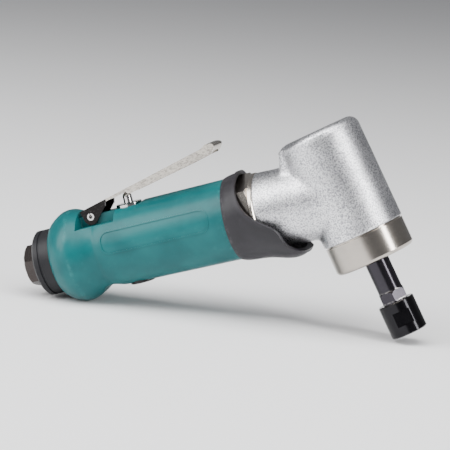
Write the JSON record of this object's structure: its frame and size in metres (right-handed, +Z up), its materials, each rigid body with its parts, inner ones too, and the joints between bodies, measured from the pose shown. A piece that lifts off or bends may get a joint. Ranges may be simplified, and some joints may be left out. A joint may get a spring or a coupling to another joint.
{
  "type": "die grinder",
  "caption": "Angle-head pneumatic die grinder: moulded grip with a lever throttle, cast angle head, bevel-geared spindle and a collet for small shanks.",
  "frame": {"origin": "on the bench, under the middle of the tool's bounding box, with the tool standing on its collet nut and on the flare of the handle", "axes": "+X from the air inlet towards the angle head, +Y across the handle, +Z up from the bench"},
  "size_m": [0.2052, 0.0488, 0.1058],
  "materials": {
    "inlet_bushing": "black oxide, machined",
    "inlet_screen": "woven",
    "inlet_o_ring": "matte",
    "exhaust_cover": "moulded",
    "exhaust_silencer": "felt",
    "housing": "moulded, fine grain",
    "valve_bushing": "polished",
    "valve_o_ring": "matte",
    "valve_stem": "polished",
    "valve_seat": "matte",
    "tip_valve": "turned",
    "valve_spring": "drawn wire",
    "regulator": "moulded",
    "regulator_o_ring": "matte",
    "throttle_lever": "nickel plated",
    "lever_pin": "rolled spring steel",
    "collar": "moulded, fine grain",
    "rear_end_plate": "ground",
    "motor_cylinder": "bored",
    "front_end_plate": "ground",
    "rear_bearing": "ground",
    "front_bearing": "ground",
    "rotor": "ground",
    "vanes": "phenolic",
    "lock_nut": "nickel plated",
    "head_casting": "bead blasted casting",
    "pinion_rear_bearing": "ground",
    "pinion_front_bearing": "ground",
    "pinion_spacer": "turned",
    "pinion": "hardened",
    "bevel_gear": "hardened",
    "gear_key": "ground",
    "gear_clip": "spring steel",
    "spindle_spacer": "turned",
    "upper_bearing": "ground",
    "lower_bearing": "ground",
    "spindle": "black oxide",
    "bearing_cap": "nickel plated, turned",
    "bearing_retainer": "turned",
    "spindle_seal": "felt",
    "collet": "ground spring steel",
    "collet_nut": "black oxide"
  },
  "bodies": {
    "tool_body": {"inlet_bushing": "inlet_bushing", "inlet_screen": "inlet_screen", "inlet_o_ring": "inlet_o_ring", "exhaust_cover": "exhaust_cover", "exhaust_silencer": "exhaust_silencer", "housing": "housing", "valve_bushing": "valve_bushing", "valve_o_ring": "valve_o_ring", "valve_seat": "valve_seat", "valve_spring": "valve_spring", "lever_pin": "lever_pin", "collar": "collar", "rear_end_plate": "rear_end_plate", "motor_cylinder": "motor_cylinder", "front_end_plate": "front_end_plate", "rear_bearing": "rear_bearing", "front_bearing": "front_bearing", "lock_nut": "lock_nut", "head_casting": "head_casting", "pinion_rear_bearing": "pinion_rear_bearing", "pinion_front_bearing": "pinion_front_bearing", "pinion_spacer": "pinion_spacer", "upper_bearing": "upper_bearing", "lower_bearing": "lower_bearing", "bearing_cap": "bearing_cap", "bearing_retainer": "bearing_retainer", "spindle_seal": "spindle_seal"},
    "throttle_lever_body": {"throttle_lever": "throttle_lever"},
    "valve_stem_body": {"valve_stem": "valve_stem"},
    "tip_valve_body": {"tip_valve": "tip_valve"},
    "regulator_body": {"regulator": "regulator", "regulator_o_ring": "regulator_o_ring"},
    "rotor_body": {"rotor": "rotor", "vanes": "vanes", "pinion": "pinion"},
    "spindle_body": {"spindle": "spindle", "bevel_gear": "bevel_gear", "gear_key": "gear_key", "gear_clip": "gear_clip", "spindle_spacer": "spindle_spacer"},
    "collet_body": {"collet": "collet"},
    "collet_nut_body": {"collet_nut": "collet_nut"}
  },
  "joints": [
    {"name": "lever_pivot", "type": "hinge", "parent": "tool_body", "child": "throttle_lever_body", "pos_m": [-0.06752, 0, 0.04351], "axis": [0, 1, 0], "range_deg": [0, 10.5], "stiffness_Nm_per_rad": 1.2, "springref_deg": -20.05},
    {"name": "valve_slide", "type": "slide", "parent": "tool_body", "child": "valve_stem_body", "axis": [0.333, 0, -0.9429], "range_m": [0, 0.00365]},
    {"name": "tip_valve_tilt", "type": "hinge", "parent": "tool_body", "child": "tip_valve_body", "pos_m": [-0.06009, 0, 0.0315], "axis": [0, 1, 0], "range_deg": [0, 14.5]},
    {"name": "regulator_turn", "type": "hinge", "parent": "tool_body", "child": "regulator_body", "pos_m": [-0.04201, 0, 0.01784], "axis": [0.333, 0, -0.9429], "range_deg": [0, 180]},
    {"name": "motor_spin", "type": "hinge", "parent": "tool_body", "child": "rotor_body", "pos_m": [0.05766, 0, 0.06895], "axis": [0.9429, 0, 0.333], "continuous": true},
    {"name": "spindle_spin", "type": "hinge", "parent": "tool_body", "child": "spindle_body", "pos_m": [0.05766, 0, 0.06895], "axis": [0.5068, 0, -0.8621], "continuous": true},
    {"name": "collet_slide", "type": "slide", "parent": "spindle_body", "child": "collet_body", "axis": [0.5068, 0, -0.8621], "range_m": [0, 0.0019]},
    {"name": "collet_nut_turn", "type": "hinge", "parent": "collet_body", "child": "collet_nut_body", "pos_m": [0.0906, 0, 0.01291], "axis": [0.5068, 0, -0.8621], "range_deg": [0, 540]}
  ],
  "couplings": [
    {"joint": "valve_slide", "follows": "lever_pivot", "m_per_rad": 0.0198},
    {"joint": "tip_valve_tilt", "follows": "lever_pivot", "ratio": 1.36},
    {"joint": "spindle_spin", "follows": "motor_spin", "ratio": 0.77778},
    {"joint": "collet_nut_turn", "follows": "collet_slide", "rad_per_m": 4947.4}
  ]
}
